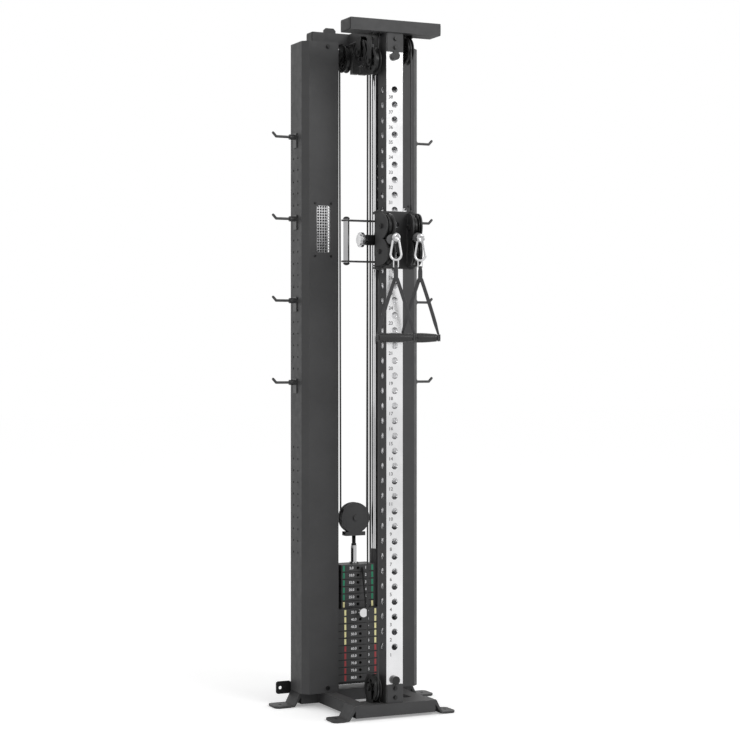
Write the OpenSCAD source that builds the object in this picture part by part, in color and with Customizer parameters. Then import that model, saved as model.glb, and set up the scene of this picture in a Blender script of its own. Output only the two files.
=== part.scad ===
// Wall-mounted cable machine: a numbered square column carries a sliding carriage with two
// swivelling cable heads, one weight stack hangs on two guide rods behind, and two tall
// sheet-metal uprights close the sides. Sizes are in millimetres, Z is up and the user stands
// at the minus Y side. The shape is drawn with the column's front face as Y = 0 and moved back
// by y_shift so that the middle of the whole thing is at the origin.

/* [Base frame] */
// top of the base beams above the floor
base_top = 50; // [40:1:80]
// height of the base and top tubes
beam_h = 40; // [30:1:60]
// depth of the front base beam
beam_d = 80; // [50:1:120]
// half length of the front base beam
front_half = 146; // [120:1:200]
// half length of the rear base beam
rear_half = 208; // [180:1:215]
// front edge of the rear base beam
rear_y = 302; // [280:1:310]
// wall of the frame tubes
tube_wall = 3; // [2:0.5:5]
// outer edge of the side rails
rail_out = 142.5; // [120:0.5:145]
// width of a side rail
rail_w = 45; // [30:1:60]

/* [Feet and wall tabs] */
// reach of a front foot from the middle
front_foot_x = 225; // [200:1:260]
// reach of a rear foot from the middle
rear_foot_x = 302; // [280:1:306]
// length of the sloping part of a foot
foot_slope = 27; // [15:1:40]
// thickness of a foot plate
foot_t = 6; // [4:0.5:10]
// thickness of the rubber pad under a foot
pad_t = 2; // [1:0.5:5]
// radius of the bolt hole in a foot
foot_hole_r = 6; // [4:0.5:8]
// distance of a wall tab hole from the middle
tab_hole_x = 253; // [240:1:256]
// height of a wall tab hole
tab_hole_z = 57; // [50:1:62]
// thickness of a wall tab
tab_t = 5; // [3:0.5:8]

/* [Column] */
// side of the square column
col = 60; // [50:1:70]
// underside of the top beams
top_z = 2273; // [2100:1:2400]
// radius of an index hole
hole_r = 11; // [8:0.5:14]
// height of the lowest index hole
hole_z0 = 235; // [200:5:300]
// pitch of the index holes
hole_pitch = 50; // [40:5:60]
// number of index holes
hole_n = 38; // [30:1:38]
// thickness of the dark channel around the column
chan_t = 1.5; // [1:0.1:3]

/* [Top frame] */
// half length of the front top beam
top_front = 165; // [120:1:180]
// half length of the rear top beam
top_rear = 167; // [150:1:180]
// depth of the rear top beam
beam_w = 50; // [40:1:60]

/* [Uprights] */
// front face of the uprights
up_y = 255; // [240:1:262]
// back face of the uprights
up_back = 370.5; // [366:0.5:380]
// outer side of the uprights
up_out = 219; // [216:1:219]
// inner edge of the front sheet
up_in = 90; // [85:1:100]
// inner edge of the back flange
up_flange = 80; // [70:1:100]
// sheet thickness
sheet = 2.5; // [2:0.1:4]
// size of the front bevel
bevel = 20; // [10:1:30]
// height of the middle of the mesh window
window_z = 1634; // [1500:1:1750]
// half height of the mesh window
window_h = 80; // [50:1:100]
// distance of the window's middle from the centre plane
window_x = 146; // [140:1:150]
// half width of the mesh window
window_w = 25; // [15:1:30]

/* [Hooks] */
// height of the lowest hook
hook_z = 1110; // [1000:5:1200]
// pitch of the hooks
hook_pitch = 280; // [200:5:300]
// hooks on each side
hook_n = 4; // [2:1:4]
// reach of a hook's tip from the middle
hook_x = 307; // [290:1:330]
// radius of a hook's rod
hook_r = 4.5; // [3:0.5:6]

/* [Weight stack] */
// pitch of the weight plates
plate_pitch = 25; // [20:0.5:30]
// gap between neighbouring plates
plate_gap = 0.3; // [0.2:0.1:1]
// underside of the lowest plate
stack_z = 80; // [70:1:100]
// wide plates that stay down
low_n = 9; // [5:1:9]
// narrow plates on top
top_n = 6; // [4:1:6]
// half width of a wide plate
plate_w = 115; // [105:1:120]
// front face of the wide plates
plate_front = 272; // [265:1:280]
// back face of the wide plates
plate_back = 364; // [355:1:366]
// half width of a narrow plate
small_w = 63; // [50:1:63]
// half depth of a narrow plate
small_d = 36; // [25:1:36]
// distance of the guide rods from the middle
rod_x = 80; // [80:1:85]
// depth of the rods and of the stack's axis
rod_y = 327; // [327:1:327]
// radius of a guide rod
rod_r = 12.5; // [10:0.5:14]
// radius of the selector rod
sel_r = 10; // [8:0.5:12]
// radius of the selector pin
pin_r = 5; // [4:0.5:6]
// height of the floating pulley's axis
float_z = 638.6; // [620:0.1:660]
// cable radius on the floating pulley
float_r = 50; // [45:1:52]

/* [Cables and pulleys] */
// radius of the cable
cable_r = 3; // [2:0.5:4]
// cable radius on the frame pulleys
turn_r = 42.5; // [38:0.5:44]
// cable radius on the head pulleys
head_r = 37.5; // [34:0.5:38]
// rim beyond the cable's middle
rim = 3.8; // [3:0.1:5]
// width of a pulley
pulley_w = 20; // [16:1:22]
// radius of a pulley's axle
axle_r = 5; // [4:0.5:6]
// distance of the cable runs from the middle
run_x = 60; // [60:1:62]
// depth of the front cable runs
run_y = -1; // [-3:0.5:0]
// drop of the top pulleys' axes under the top beams
turn_drop = 51; // [49:1:73]
// distance of the back pulleys from the middle
back_x = 54; // [52:1:56]
// drop of the guide pulley's axis under the top pulleys' axes
guide_drop = 41; // [40:1:60]
// height of the bottom pulley's axis
bottom_z = 97; // [97:1:100]

/* [Carriage] */
// index hole that the carriage is on
hole_at = 28; // [28:1:28]
// wall of the sleeve
sleeve_t = 5; // [4:0.5:6]
// thickness of the slide liners
liner_t = 3.7; // [3:0.1:5]
// gap between a liner and the column
liner_gap = 0.3; // [0.2:0.1:0.5]
// distance of the grip from the middle
grip_x = 162; // [150:1:170]
// radius of the grip
grip_r = 10; // [8:0.5:12]
// height of the grip's upper arm above the carriage's middle
grip_up = 60; // [50:1:70]
// depth of the grip's lower arm under the carriage's middle
grip_down = 70; // [60:1:80]
// radius of the plunger's housing
housing_r = 17.5; // [15:0.5:17.5]
// radius of the plunger's knob
knob_r = 25; // [20:1:30]

/* [Cable heads] */
// angle that the left head turns inwards
toe_left = 4.5; // [0:0.5:11]
// angle that the right head turns inwards
toe_right = 11; // [11:0.5:15]
// reach of a side plate's back edge from the swivel axis
plate_u = 8; // [6:1:12]
// half width of a head over its side plates
head_w = 16.5; // [15:0.5:17]
// thickness of a side plate
head_t = 4; // [3:0.5:5]
// height of the head pulleys above and below the middle
head_pz = 41.5; // [41.5:0.5:44]
// reach of the pulley that doesn't lead the cable
idle_u = 49; // [45:1:52]
// radius of the rubber ball on the cable
ball_r = 17; // [14:0.5:18]
// reach of the ball's middle from the swivel axis
ball_u = 87; // [85:1:88]
// reach of the handle's hinge axis from the swivel axis
hang_u = 115; // [115:1:120]

/* [Handles] */
// turn of the handles about the upright axis
handle_yaw = 25; // [0:1:30]
// height of the carabiner's top bar above the head's middle
clip_up = 9; // [5:1:12]
// height of the carabiner's loop, bar to bar
clip_h = 81; // [60:1:90]
// radius of the carabiner's wide lower bend
clip_w = 17; // [12:1:20]
// radius of the carabiner's narrow upper bend
clip_top = 8; // [8:1:12]
// half width of the eye that the carabiner hangs in
eye_t = 2.2; // [1.5:0.1:2.3]
// radius of the carabiner's wire
wire_r = 4; // [3:0.5:5]
// drop of the strap's fork under the head's middle
fork_z = 138; // [130:1:150]
// drop of the grip's axis under the head's middle
grip_z = 325; // [300:1:340]
// half length of the barrel that the hand holds
barrel_l = 54.5; // [50:0.5:60]
// radius of the barrel
barrel_r = 14; // [12:0.5:16]

/* [Hidden] */
$fn = 40;
fit = 0.05;
soft = 0.3;
cord_r = 2.4;
end_r = 12;
end_l = 66;
neck_r = 9;
chan_x = col / 2 + chan_t;
chan_y = col + chan_t;
top_up = top_z + beam_h;
carriage_z = hole_z0 + hole_pitch * (hole_at - 1);
pivot_back = run_y + turn_r;
rise_y = run_y + 2 * turn_r;
return_y = rise_y + turn_r;
back_y = rod_y - turn_r;
turn_z = top_z - turn_drop;
guide_z = turn_z - guide_drop;
turn_top = turn_z + turn_r;
exit_z = head_pz - head_r;
head_h = head_pz + head_r + rim + 3.7;
ball_face = ball_r * sin(75);
sleeve_h = head_h + 8.5;
tab_back = rear_y + beam_d + tab_t;
rest_z = stack_z + low_n * plate_pitch;
peg_y = rod_y - 1;
small_z = rest_z + plate_pitch;
stack_top = small_z + top_n * plate_pitch;
pin_z = rest_z + plate_pitch / 2;
front_y = run_y - hang_u * cos(toe_left) - end_l * sin(handle_yaw) - end_r * cos(handle_yaw);
y_shift = -(front_y + tab_back) / 2;
in_x = chan_x + liner_gap + liner_t;
in_front = -liner_gap - liner_t;
in_back = chan_y + liner_gap + liner_t;
out_x = in_x + sleeve_t;
out_front = in_front - sleeve_t;
out_back = in_back + sleeve_t;
frame_grey = [0.25, 0.25, 0.26];
black = [0.08, 0.08, 0.08];
chrome_grey = [0.85, 0.85, 0.87];
cable_grey = [0.4, 0.4, 0.4];

// Small helpers

module place() {
    translate([0, y_shift, 0]) children();
}

module both_sides() {
    children();
    mirror([1, 0, 0]) children();
}

// box between two corners
module box(lo, hi) {
    translate(lo) cube(hi - lo);
}

// hollow tube along X or Y with open ends
module tube_x(lo, hi) {
    difference() {
        box(lo, hi);
        box([lo[0] - 1, lo[1] + tube_wall, lo[2] + tube_wall],
            [hi[0] + 1, hi[1] - tube_wall, hi[2] - tube_wall]);
    }
}

module tube_y(lo, hi) {
    difference() {
        box(lo, hi);
        box([lo[0] + tube_wall, lo[1] - 1, lo[2] + tube_wall],
            [hi[0] - tube_wall, hi[1] + 1, hi[2] - tube_wall]);
    }
}

// round bar between two points
module bar(p, q, r) {
    d = q - p;
    translate(p)
        rotate([0, acos(d[2] / norm(d)), atan2(d[1], d[0])])
            cylinder(r = r, h = norm(d));
}

// round bars along X and Y, starting at a point
module bar_x(p, r, len) {
    translate(p) rotate([0, 90, 0]) cylinder(r = r, h = len);
}

module bar_y(p, r, len) {
    translate(p) rotate([-90, 0, 0]) cylinder(r = r, h = len);
}

// flat rectangle with rounded corners
module round_rect(w, h, r) {
    union() {
        square([w, h - 2 * r], center = true);
        square([w - 2 * r, h], center = true);
        for (x = [-1, 1], y = [-1, 1])
            translate([x * (w / 2 - r), y * (h / 2 - r)]) circle(r = r);
    }
}

// straight run of cable that stops a hair short of both points, so that it and the bends next
// to it stay separate round solids
module run(p, q) {
    step = (q - p) / norm(q - p) * 0.1;
    bar(p + step, q - step, cable_r);
}

// cable bent round a pulley in the plane across X, from angle a through the turn da
module wrap(x, y, z, a, da) {
    translate([x, y, z])
        rotate([90, 0, 90])
            rotate([0, 0, a])
                rotate_extrude(angle = da) translate([turn_r, 0]) circle(r = cable_r);
}

// grooved pulley round the Z axis, path is the radius of the cable's middle
module pulley(path) {
    out = path + rim;
    floor_r = path - cable_r - soft;
    half = pulley_w / 2;
    lip = cable_r + soft;
    difference() {
        rotate_extrude()
            polygon([[axle_r + fit, -half], [out, -half], [out, -half + 2.5],
                [floor_r, -lip], [floor_r, lip], [out, half - 2.5],
                [out, half], [axle_r + fit, half]]);
        for (i = [0:5])
            rotate([0, 0, 60 * i])
                translate([path * 0.55, 0, -half - 1]) cylinder(r = 6.5, h = pulley_w + 2);
        for (s = [-1, 1])
            translate([0, 0, s * half])
                rotate_extrude()
                    translate([path * 0.28, -2]) square([path * 0.54, 4]);
    }
}

module pulley_x(x, y, z) {
    translate([x, y, z]) rotate([0, 90, 0]) pulley(turn_r);
}

// six-sided bolt head with a washer, pointing to minus Y
module bolt_front(x, y, z, r = 6) {
    bar_y([x, y - 1.5, z], r * 1.25, 1.5);
    translate([x, y - 1.5, z]) rotate([90, 0, 0]) cylinder(r = r, h = r * 0.7, $fn = 6);
}

// Base frame

module base_front_beam() color(frame_grey) place()
    tube_x([-front_half, -12, base_top - beam_h], [front_half, beam_d - 12, base_top]);

module base_side_rails() color(frame_grey) place() both_sides()
    tube_y([rail_out - rail_w, beam_d - 12, base_top - beam_h], [rail_out, rear_y, base_top]);

module base_rear_beam() color(frame_grey) place()
    tube_x([-rear_half, rear_y, base_top - beam_h], [rear_half, rear_y + beam_d, base_top]);

// one foot pointing to plus X: sloping plate down from the beam's end, then flat on its pad
module foot(start, reach, y) {
    flat = start + foot_slope;
    mid = (flat + reach) / 2;
    drop = base_top - pad_t - foot_t;
    translate([0, y + beam_d, 0])
        rotate([90, 0, 0])
            linear_extrude(beam_d)
                polygon([[start, base_top], [start, base_top - 14],
                    [flat - 3, pad_t], [flat + 1, pad_t], [flat + 1, pad_t + foot_t],
                    [flat - 1, pad_t + foot_t], [start + 4, base_top]]);
    difference() {
        translate([mid, y + beam_d / 2, pad_t])
            linear_extrude(foot_t)
                union() {
                    translate([-10, 0]) square([reach - flat - 20, beam_d], center = true);
                    round_rect(reach - flat, beam_d, 18);
                }
        translate([mid + 2, y + beam_d / 2, 0]) cylinder(r = foot_hole_r, h = 20);
    }
}

module feet() color(frame_grey) place() both_sides() {
    foot(front_half, front_foot_x, -12);
    foot(rear_half, rear_foot_x, rear_y);
}

module pad(start, reach, y) {
    flat = start + foot_slope;
    mid = (flat + reach) / 2;
    difference() {
        translate([mid, y + beam_d / 2, 0])
            linear_extrude(pad_t) round_rect(reach - flat - 4, beam_d - 4, 16);
        translate([mid + 2, y + beam_d / 2, -1]) cylinder(r = foot_hole_r + 1, h = 10);
    }
}

module foot_pads() color(black) place() both_sides() {
    pad(front_half, front_foot_x, -12);
    pad(rear_half, rear_foot_x, rear_y);
}

// wall tabs: flat plates bolted to the back of the rear beam, each with one wall hole
module wall_anchor_tabs() color(black) place() both_sides()
    difference() {
        translate([0, tab_back, 0])
            rotate([90, 0, 0])
                linear_extrude(tab_t)
                    union() {
                        translate([240.5, 57.5]) round_rect(55, 43, 8);
                        translate([150, 14]) square([55, 34]);
                        translate([150, 36]) square([80, 12]);
                    }
        bar_y([tab_hole_x, tab_back - tab_t - 1, tab_hole_z], foot_hole_r, tab_t + 2);
    }

// Column

// every index hole, through the front wall and through both side walls
module index_holes() {
    for (i = [0:hole_n - 1]) {
        z = hole_z0 + hole_pitch * i;
        bar_y([0, -2, z], hole_r, 8);
        bar_x([-col, col / 2, z], hole_r, 2 * col);
    }
}

module guide_column() color(chrome_grey) place()
    difference() {
        box([-col / 2, 0, base_top], [col / 2, col, top_z]);
        box([3 - col / 2, 3, base_top - 1], [col / 2 - 3, col - 3, top_z + 1]);
        index_holes();
    }

module column_channel() color(black) place()
    difference() {
        box([-chan_x, 0.5, base_top], [chan_x, chan_y, top_z]);
        box([-col / 2, -1, base_top - 1], [col / 2, col, top_z + 1]);
        for (i = [0:hole_n - 1])
            bar_x([-col, col / 2, hole_z0 + hole_pitch * i], hole_r, 2 * col);
    }

module column_brackets() color(black) place() {
    box([-29, -5, base_top], [29, 0, base_top + 61]);
    box([-29, -5, top_z - 63], [29, 0, top_z]);
}

module frame_bolts() color(black) place() {
    for (z = [base_top + 18, base_top + 48, top_z - 49, top_z - 20]) bolt_front(0, -5, z, 6);
    both_sides() {
        for (z = [base_top + 17, top_z - 16]) bolt_front(up_in + 40, up_y, z, 6);
        for (x = [-1, 1], z = [-1, 1])
            bolt_front(window_x + 1.5 + x * 29.5, up_y, window_z - 3 + z * 90, 3.2);
    }
}

module carriage_stops() color(black) place()
    for (z = [base_top + 75, top_z - 77]) bar_y([0, -13, z], 14, 13);

// Top frame

module top_front_beam() color(frame_grey) place()
    tube_x([-top_front, -12, top_z], [top_front, beam_d - 12, top_up]);

// middle tube, back crossbeam and the two lugs that stand on the crossbeam
module rear_top_frame() color(frame_grey) place() {
    tube_y([-30, beam_d - 12, top_z], [30, rear_y, top_up]);
    tube_x([-top_rear, rear_y, top_z], [top_rear, rear_y + beam_w, top_up]);
    both_sides()
        translate([0, rear_y + 28, top_up])
            rotate([90, 0, 0])
                linear_extrude(5)
                    polygon([[70, 0], [115, 0], [115, 12], [107, 20], [78, 20], [70, 12]]);
}

// Uprights

// holes in the upright's side that take hanging pegs
module peg_holes() {
    for (i = [0:9], y = [-19, 19])
        bar_x([up_out - 6, peg_y + y, 528 + 40 * i], 4, 12);
    for (i = [0:18], y = [-19, 19])
        bar_x([up_out - 6, peg_y + y, 1157 + 40 * i], 4, 12);
}

module upright() {
    difference() {
        translate([0, 0, base_top])
            linear_extrude(top_z - base_top)
                polygon([[up_in, up_y], [up_out - bevel, up_y], [up_out, up_y + bevel],
                    [up_out, up_back], [up_flange, up_back], [up_flange, up_back - sheet],
                    [up_out - sheet, up_back - sheet], [up_out - sheet, up_y + bevel + 1],
                    [up_out - bevel - 1, up_y + sheet], [up_in + sheet, up_y + sheet],
                    [up_in + sheet, up_y + 14], [up_in, up_y + 14]]);
        translate([window_x, up_y + sheet + 2, window_z])
            rotate([90, 0, 0])
                linear_extrude(sheet + 4) round_rect(2 * window_w, 2 * window_h, 8);
        peg_holes();
    }
}

module right_upright() color(frame_grey) place() upright();

module left_upright() color(frame_grey) place() mirror([1, 0, 0]) upright();

// perforated sheets behind the windows
module mesh_panels() color(chrome_grey) place() both_sides()
    difference() {
        box([window_x - 34, up_y + sheet, window_z - window_h - 16],
            [window_x + 34, up_y + sheet + 1.2, window_z + window_h + 10]);
        for (i = [-2:2], j = [-8:8])
            bar_y([window_x + 9.4 * i, up_y, window_z + 9.4 * j], 3.4, 8);
    }

// hooks: side plate, hub and a bent rod
module hook(z) {
    box([up_out, peg_y - 14, z - 37], [up_out + 4, peg_y + 14, z + 13]);
    bar_x([up_out + 4, peg_y, z], 9, 20);
    bar_x([up_out + 24, peg_y, z], hook_r, hook_x - hook_r - up_out - 35);
    translate([hook_x - hook_r - 11, peg_y, z]) sphere(r = hook_r);
    bar([hook_x - hook_r - 11, peg_y, z], [hook_x - hook_r, peg_y, z + 12], hook_r);
    translate([hook_x - hook_r, peg_y, z + 12]) sphere(r = hook_r);
}

module storage_hooks() color(chrome_grey) place() both_sides()
    for (i = [0:hook_n - 1]) hook(hook_z + hook_pitch * i);

// Weight stack

module guide_rods() color(chrome_grey) place() both_sides()
    translate([rod_x, rod_y, base_top]) cylinder(r = rod_r, h = top_z - base_top);

// support plate on rubber buffers under the lowest plate
module stack_buffers() color(black) place() {
    difference() {
        box([-100, plate_front + 3, stack_z - 9], [100, plate_back - 3, stack_z - soft]);
        both_sides() translate([rod_x, rod_y, 0]) cylinder(r = rod_r + fit, h = 200);
        translate([0, rod_y, 0]) cylinder(r = sel_r + 2, h = 200);
    }
    both_sides()
        difference() {
            translate([rod_x, rod_y, base_top]) cylinder(r = 21, h = stack_z - 9 - base_top);
            translate([rod_x, rod_y, 0]) cylinder(r = rod_r + fit, h = 200);
        }
}

// one wide plate with its rod holes and the pin hole from the front
module wide_plate(z) {
    difference() {
        box([-plate_w, plate_front, z], [plate_w, plate_back, z + plate_pitch - plate_gap]);
        both_sides() translate([rod_x, rod_y, z - 1]) cylinder(r = rod_r + 2 * fit, h = 40);
        translate([0, rod_y, z - 1]) cylinder(r = sel_r + 2 * fit, h = 40);
        bar_y([0, plate_front - 1, z + plate_pitch / 2], pin_r + 2 * fit, 80);
    }
}

module lower_plates() color(black) place()
    for (i = [0:low_n - 1]) wide_plate(stack_z + plate_pitch * i);

module selected_plate() color(black) place() wide_plate(rest_z);

module upper_plates() color(black) place()
    difference() {
        for (i = [0:top_n - 1])
            box([-small_w, rod_y - small_d, small_z + plate_pitch * i],
                [small_w, rod_y + small_d, small_z + plate_pitch * (i + 1) - plate_gap]);
        translate([0, rod_y, small_z - 1]) cylinder(r = sel_r + 2 * fit, h = 300);
        for (i = [0:top_n - 1])
            bar_y([0, rod_y - small_d - 1, small_z + plate_pitch * (i + 0.5)],
                pin_r + 2 * fit, 60);
    }

// black sleeves that stand on the selected plate round the guide rods
module rod_sleeves() color(black) place() both_sides()
    difference() {
        translate([rod_x, rod_y, small_z]) cylinder(r = 15.5, h = 199);
        translate([rod_x, rod_y, small_z - 1]) cylinder(r = rod_r + 2 * fit, h = 300);
    }

// drilled selector rod with the turnbuckle and the threaded rod above it
module lift_rod() color(chrome_grey) place() {
    difference() {
        translate([0, rod_y, stack_z + 5]) cylinder(r = sel_r, h = stack_top - stack_z - 5);
        for (i = [0:low_n + top_n])
            bar_y([0, rod_y - 20, stack_z + plate_pitch * (i + 0.5)], pin_r + fit, 40);
    }
    translate([0, rod_y, stack_top]) cylinder(r = 16, h = 6);
    translate([0, rod_y, stack_top + 6]) cylinder(r = 11, h = 57, $fn = 6);
    translate([0, rod_y, stack_top + 63]) cylinder(r = 5.5, h = 34);
}

// yoke of the floating pulley: foot box, two guard discs and the axle
module floating_bracket() color(black) place() {
    box([-37, rod_y - 16, stack_top + 97], [37, rod_y + 16, stack_top + 101]);
    for (y = [rod_y - 16, rod_y + 12]) {
        box([-37, y, stack_top + 97], [37, y + 4, stack_top + 111]);
        box([-18, y, stack_top + 105], [18, y + 4, float_z]);
        bar_y([0, y, float_z], 53, 4);
    }
    bar_y([0, rod_y - 19, float_z], axle_r, 38);
    bar_y([0, rod_y - 21, float_z], 9, 5);
    bar_y([0, rod_y + 16, float_z], 9, 5);
}

module floating_pulley() color(chrome_grey) place()
    translate([0, rod_y, float_z]) rotate([90, 0, 0]) pulley(float_r);

module stack_cable() color(cable_grey) place() {
    both_sides() run([float_r, rod_y, float_z], [back_x, rod_y, turn_z]);
    translate([0, rod_y, float_z])
        rotate([90, 0, 0])
            rotate([0, 0, 180])
                rotate_extrude(angle = 180) translate([float_r, 0]) circle(r = cable_r);
}

// pin through the selected plate into the rod, with a round knob in front
module selector_pin() color(chrome_grey) place() {
    bar_y([0, plate_front - 12, pin_z], pin_r, rod_y + 14 - plate_front + 12);
    bar_y([0, plate_front - 2.3, pin_z], 8, 2);
    bar_y([0, plate_front - 28, pin_z], 15, 16);
    bar_y([0, plate_front - 12, pin_z], 11, 9.8);
}

// coiled cord from the narrow plates to the pin's knob, drawn as a bent cord
module pin_lanyard() color(black) place() {
    p = [[16, 288, 470], [22, 262, 440], [24, 244, 400], [18, 240, 360], [13, 246, 334]];
    for (i = [0:3]) bar(p[i], p[i + 1], cord_r);
    for (q = p) translate(q) sphere(r = cord_r + 0.15);
}

// Pulleys and cables of the frame

// pair of hanger plates round one pulley: s is the Z level that they are fixed to
module hanger(x, y, z, s, y0, y1) {
    for (e = [-1, 1]) {
        xs = x + e * 13 - 1.5;
        bar_x([xs, y, z], 16, 3);
        box([xs, y - 16, min(z, s)], [xs + 3, y + 16, max(z, s)]);
        box([xs, y0, s - (s > z ? 12 : 0)], [xs + 3, y1, s + (s > z ? 0 : 12)]);
        bar_x([x + e * 14.5 + (e < 0 ? -6 : 0), y, z], 8, 6);
    }
    bar_x([x - 15, y, z], axle_r, 30);
    for (e = [-1, 1])
        bar_x([x + e * 10.75 - 0.7, y, z], 9, 1.4);
}

module pulley_hangers() color(black) place() {
    hanger(-back_x, back_y, turn_z, top_z, back_y - 16, rear_y + 12);
    hanger(back_x, back_y, turn_z, top_z, back_y - 16, rear_y + 12);
    hanger(-run_x, return_y, turn_z, top_z - 3.5, return_y - 20, return_y + 20);
    hanger(-run_x, pivot_back, guide_z, top_z, pivot_back - 24, pivot_back + 24);
    hanger(run_x, pivot_back, turn_z, top_z, pivot_back - 24, pivot_back + 24);
    hanger(-run_x, pivot_back, bottom_z, base_top, pivot_back - 24, pivot_back + 24);
    box([-run_x - 15, return_y - 20, top_z - 3.5], [30, return_y + 20, top_z]);
    both_sides() box([3, back_y - 12, top_z - 100], [28, back_y + 12, top_z]);
}

module left_rear_pulley() color(black) place() pulley_x(-back_x, back_y, turn_z);

module right_rear_pulley() color(black) place() pulley_x(back_x, back_y, turn_z);

module left_return_pulley() color(black) place() pulley_x(-run_x, return_y, turn_z);

module left_guide_pulley() color(black) place() pulley_x(-run_x, pivot_back, guide_z);

module right_column_pulley() color(black) place() pulley_x(run_x, pivot_back, turn_z);

module bottom_pulley() color(black) place() pulley_x(-run_x, pivot_back, bottom_z);

// the parts of the cable that never change shape: round the frame pulleys and along the top
module fixed_cables() color(cable_grey) place() {
    wrap(-run_x, pivot_back, bottom_z, 180, 180);
    run([-run_x, rise_y, bottom_z], [-run_x, rise_y, turn_z]);
    wrap(-run_x, return_y, turn_z, 90, 90);
    run([-run_x, return_y, turn_top], [-back_x, back_y, turn_top]);
    wrap(-back_x, back_y, turn_z, 0, 90);
    wrap(back_x, back_y, turn_z, 0, 90);
    run([run_x, pivot_back, turn_top], [back_x, back_y, turn_top]);
    wrap(run_x, pivot_back, turn_z, 90, 90);
}

module left_head_cable() color(cable_grey) place()
    bar([-run_x, run_y, bottom_z], [-run_x, run_y, carriage_z - head_pz - 60], cable_r);

module right_head_cable() color(cable_grey) place()
    bar([run_x, run_y, carriage_z + head_pz + 60], [run_x, run_y, turn_z], cable_r);

// Carriage

module carriage() {
    place() translate([0, 0, carriage_z]) children();
}

// lug beside the sleeve with the bore that a head's bush turns in
module lug(z) {
    difference() {
        union() {
            translate([run_x, run_y, z]) cylinder(r = 14, h = 6);
            box([out_x - 1, run_y - 8, z], [run_x, out_back - 22, z + 6]);
        }
        translate([run_x, run_y, z - 1]) cylinder(r = 8 + fit, h = 8);
    }
}

// flat arm that holds one end of the grip
module grip_arm(z) {
    difference() {
        translate([0, col / 2, z])
            linear_extrude(5)
                union() {
                    translate([-grip_x - 4, 0]) circle(r = 13.5);
                    translate([-grip_x - 4, -13.5]) square([grip_x + 4 - out_x + 1, 27]);
                }
        translate([-grip_x, col / 2, z - 1]) cylinder(r = 6, h = 8);
    }
}

module carriage_sleeve() color(frame_grey) carriage() {
    difference() {
        box([-out_x, out_front, -sleeve_h], [out_x, out_back, sleeve_h]);
        box([-in_x, in_front, -sleeve_h - 1], [in_x, in_back, sleeve_h + 1]);
        bar_x([-out_x - 1, col / 2, 0], hole_r, 20);
        bar_y([0, out_front - 1, 0], hole_r + 1, 10);
        bar_y([0, out_front - 1, 50], hole_r + 1, 10);
        bar_y([0, out_front - 1, -50], hole_r + 1, 10);
    }
    both_sides() {
        lug(head_h + 2);
        lug(-head_h - 8);
    }
    grip_arm(grip_up);
    grip_arm(-grip_down - 5);
}

// low-friction liners in both ends of the sleeve
module slide_liners() color(black) carriage()
    for (z = [-sleeve_h, sleeve_h - 36])
        difference() {
            box([-in_x, in_front, z], [in_x, in_back, z + 36]);
            box([-chan_x - liner_gap, -liner_gap, z - 1],
                [chan_x + liner_gap, chan_y + liner_gap, z + 40]);
            bar_y([0, in_front - 1, 50], hole_r + 1, 10);
            bar_y([0, in_front - 1, -50], hole_r + 1, 10);
        }

module grip_tube() color(black) carriage()
    translate([-grip_x, col / 2, 0]) {
        translate([0, 0, -grip_down]) cylinder(r = grip_r, h = grip_up + grip_down);
        translate([0, 0, -grip_down - 9]) cylinder(r = 6, h = grip_up + grip_down + 18);
        translate([0, 0, grip_up + 5]) cylinder(r = 9, h = 6);
        translate([0, 0, -grip_down - 11]) cylinder(r = 9, h = 6);
    }

// housing of the sprung index plunger on the left side
module plunger_housing() color(black) carriage()
    difference() {
        union() {
            bar_x([-91, col / 2, 0], housing_r, 91 - out_x);
            bar_x([-out_x - 5, col / 2, 0], housing_r + 3, 5);
        }
        bar_x([-86, col / 2, 0], hole_r, 86);
        bar_x([-100, col / 2, 0], 6 + fit, 30);
    }

// pin, stem and knob of the plunger
module index_plunger() color(black) carriage() {
    bar_x([-52, col / 2, 0], hole_r - 2 * fit, 30);
    bar_x([-104, col / 2, 0], 6, 53);
    bar_x([-114, col / 2, 0], knob_r, 10);
    bar_x([-118, col / 2, 0], knob_r - 6, 5);
}

// Cable heads, drawn with plus X forwards and turned into place

function toe(side) = side < 0 ? toe_left : toe_right;

module head(side) {
    carriage()
        translate([side * run_x, run_y, 0])
            rotate([0, 0, -90 - side * toe(side)]) children();
}

// outline of a side plate: two round lobes joined by a straight back
module side_outline() {
    lobe = head_h / 2 - 0.5;
    difference() {
        union() {
            for (z = [-1, 1]) translate([44.5, z * (lobe - 1)]) circle(r = lobe);
            translate([plate_u, -head_h]) square([44.5 - plate_u, 2 * head_h]);
        }
        translate([plate_u - 20, -head_h]) square([20, 2 * head_h]);
    }
}

module head_frame(side) {
    lead_z = side * head_pz;
    for (y = [-head_w, head_w - head_t])
        translate([0, y + head_t, 0])
            rotate([90, 0, 0]) linear_extrude(head_t) side_outline();
    for (z = [-1, 1])
        difference() {
            union() {
                translate([-9, -head_w, z * (head_h - 1) - 2]) cube([44, 2 * head_w, 4]);
                translate([0, 0, z * (head_h + 4.2) - 5.2]) cylinder(r = 8, h = 10.4);
            }
            translate([0, 0, z * (head_h + 3.5) - 12]) cylinder(r = cable_r + 1.2, h = 24);
        }
    for (p = [[head_r, lead_z], [idle_u, -lead_z]]) {
        bar_y([p[0], -head_w - 1, p[1]], axle_r, 2 * head_w + 2);
        for (s = [-1, 1]) {
            translate([p[0], s * (head_w + 1.7), p[1]])
                rotate([90, 0, 0]) cylinder(r = 9, h = 3.4, center = true, $fn = 6);
            bar_y([p[0], s * 11.35 - 1.15, p[1]], 8, 2.3);
        }
    }
}

module head_pulley(u, z) {
    translate([u, 0, z]) rotate([90, 0, 0]) pulley(head_r);
}

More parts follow.
